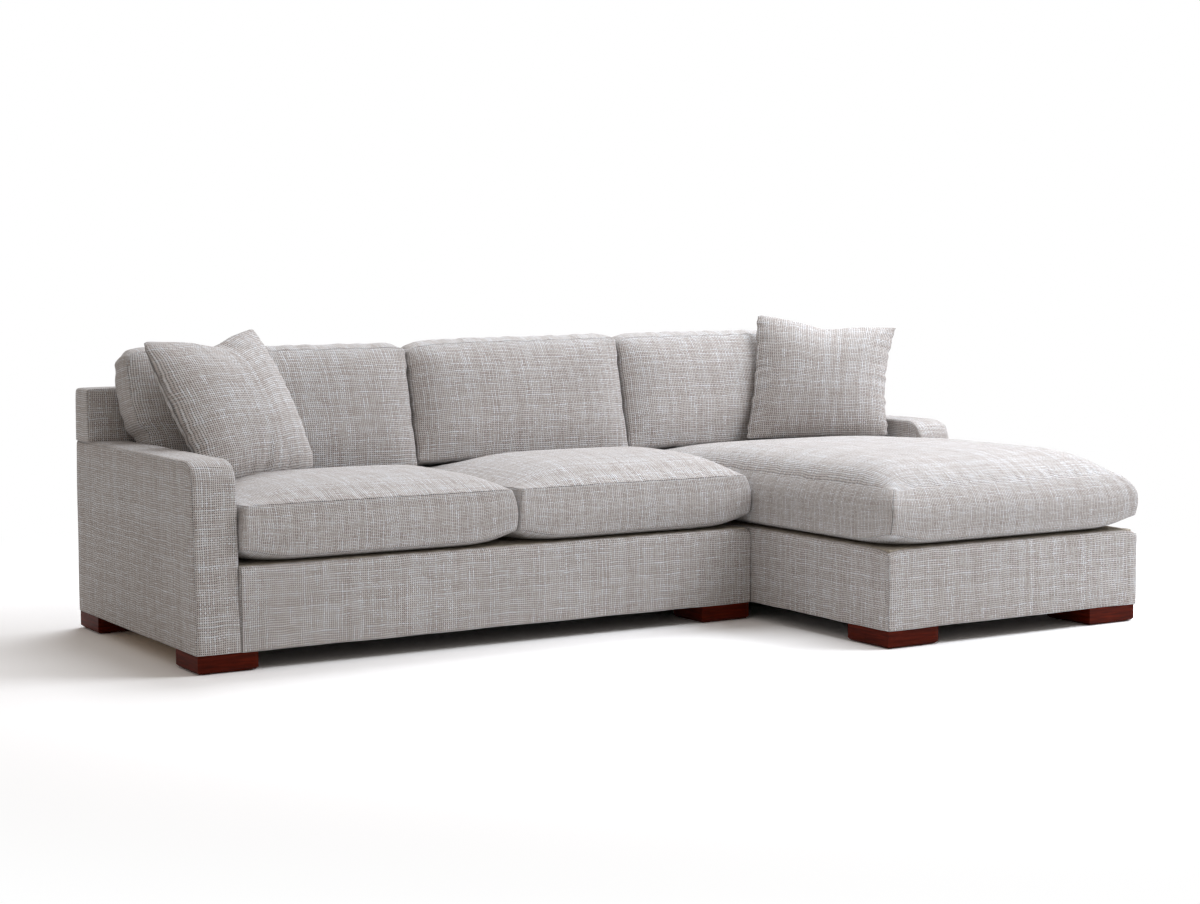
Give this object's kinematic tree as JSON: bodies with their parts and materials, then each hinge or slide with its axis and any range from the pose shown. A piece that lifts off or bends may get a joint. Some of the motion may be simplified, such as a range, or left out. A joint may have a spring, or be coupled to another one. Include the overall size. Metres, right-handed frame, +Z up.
{
  "type": "corner sofa",
  "caption": "Corner sofa in two modules: a seat module with the left arm and a chaise with the right arm, loose boxed cushions, scatter pillows and block legs.",
  "frame": {"origin": "on the floor under the middle of the whole outline", "axes": "+X to the right as seen from the front, towards the chaise; +Y to the back; +Z up"},
  "size_m": [3.06, 1.762, 1.0028],
  "materials": {
    "leg_wood": "satin",
    "glide_felt": "matte",
    "steel": "satin",
    "clip_plastic": "matte",
    "frame_wood": "matte",
    "webbing": "matte",
    "dust_cloth": "matte",
    "deck_felt": "matte",
    "filling": "matte",
    "woven_cloth": "matte"
  },
  "bodies": {
    "sofa_module": {"connector_plates": "steel", "left_arm_cover": "woven_cloth", "left_arm_panels": "frame_wood", "left_arm_spacers": "frame_wood", "sofa_back_boards": "frame_wood", "sofa_back_cover": "woven_cloth", "sofa_back_rail": "frame_wood", "sofa_back_ribs": "frame_wood", "sofa_back_webbing": "webbing", "sofa_bolts": "steel", "sofa_corner_blocks": "frame_wood", "sofa_cross_rails": "frame_wood", "sofa_deck_pad": "deck_felt", "sofa_dust_cover": "dust_cloth", "sofa_end_border": "woven_cloth", "sofa_front_border": "woven_cloth", "sofa_front_rail": "frame_wood", "sofa_leg_glides": "glide_felt", "sofa_legs": "leg_wood", "sofa_spring_clips": "clip_plastic", "sofa_springs": "steel"},
    "chaise_module": {"chaise_back_boards": "frame_wood", "chaise_back_cover": "woven_cloth", "chaise_back_rail": "frame_wood", "chaise_back_ribs": "frame_wood", "chaise_back_webbing": "webbing", "chaise_bolts": "steel", "chaise_corner_blocks": "frame_wood", "chaise_cross_rail": "frame_wood", "chaise_deck_pad": "deck_felt", "chaise_dust_cover": "dust_cloth", "chaise_front_border": "woven_cloth", "chaise_front_rail": "frame_wood", "chaise_left_border": "woven_cloth", "chaise_leg_glides": "glide_felt", "chaise_legs": "leg_wood", "chaise_right_border": "woven_cloth", "chaise_side_rails": "frame_wood", "chaise_spring_clips": "clip_plastic", "chaise_springs": "steel", "connector_studs": "steel", "right_arm_cover": "woven_cloth", "right_arm_panels": "frame_wood", "right_arm_spacers": "frame_wood"},
    "seat_cushion_left": {"seat_cushion_left_cover": "woven_cloth", "seat_cushion_left_filling": "filling"},
    "seat_cushion_middle": {"seat_cushion_middle_cover": "woven_cloth", "seat_cushion_middle_filling": "filling"},
    "chaise_cushion": {"chaise_cushion_cover": "woven_cloth", "chaise_cushion_filling": "filling"},
    "back_cushion_left": {"back_cushion_left_cover": "woven_cloth", "back_cushion_left_filling": "filling"},
    "back_cushion_middle": {"back_cushion_middle_cover": "woven_cloth", "back_cushion_middle_filling": "filling"},
    "back_cushion_right": {"back_cushion_right_cover": "woven_cloth", "back_cushion_right_filling": "filling"},
    "pillow_left": {"pillow_left_cover": "woven_cloth", "pillow_left_filling": "filling"},
    "pillow_right": {"pillow_right_cover": "woven_cloth", "pillow_right_filling": "filling"}
  },
  "joints": [
    {"name": "chaise_lift", "type": "slide", "parent": "sofa_module", "child": "chaise_module", "axis": [0, 0, 1], "range_m": [0, 0.05]},
    {"name": "seat_cushion_left_slide", "type": "slide", "parent": "sofa_module", "child": "seat_cushion_left", "axis": [0, -1, 0], "range_m": [0, 0.6]},
    {"name": "seat_cushion_middle_slide", "type": "slide", "parent": "sofa_module", "child": "seat_cushion_middle", "axis": [0, -1, 0], "range_m": [0, 0.6]},
    {"name": "chaise_cushion_slide", "type": "slide", "parent": "chaise_module", "child": "chaise_cushion", "axis": [0, -1, 0], "range_m": [0, 0.6]},
    {"name": "back_cushion_left_lift", "type": "slide", "parent": "sofa_module", "child": "back_cushion_left", "axis": [0, 0.225, 0.9744], "range_m": [0, 0.5]},
    {"name": "back_cushion_middle_lift", "type": "slide", "parent": "sofa_module", "child": "back_cushion_middle", "axis": [0, 0.225, 0.9744], "range_m": [0, 0.5]},
    {"name": "back_cushion_right_lift", "type": "slide", "parent": "chaise_module", "child": "back_cushion_right", "axis": [0, 0.225, 0.9744], "range_m": [0, 0.5]},
    {"name": "pillow_left_lift", "type": "slide", "parent": "sofa_module", "child": "pillow_left", "axis": [0, 0, 1], "range_m": [0, 0.5]},
    {"name": "pillow_right_lift", "type": "slide", "parent": "chaise_module", "child": "pillow_right", "axis": [0, 0, 1], "range_m": [0, 0.5]}
  ]
}
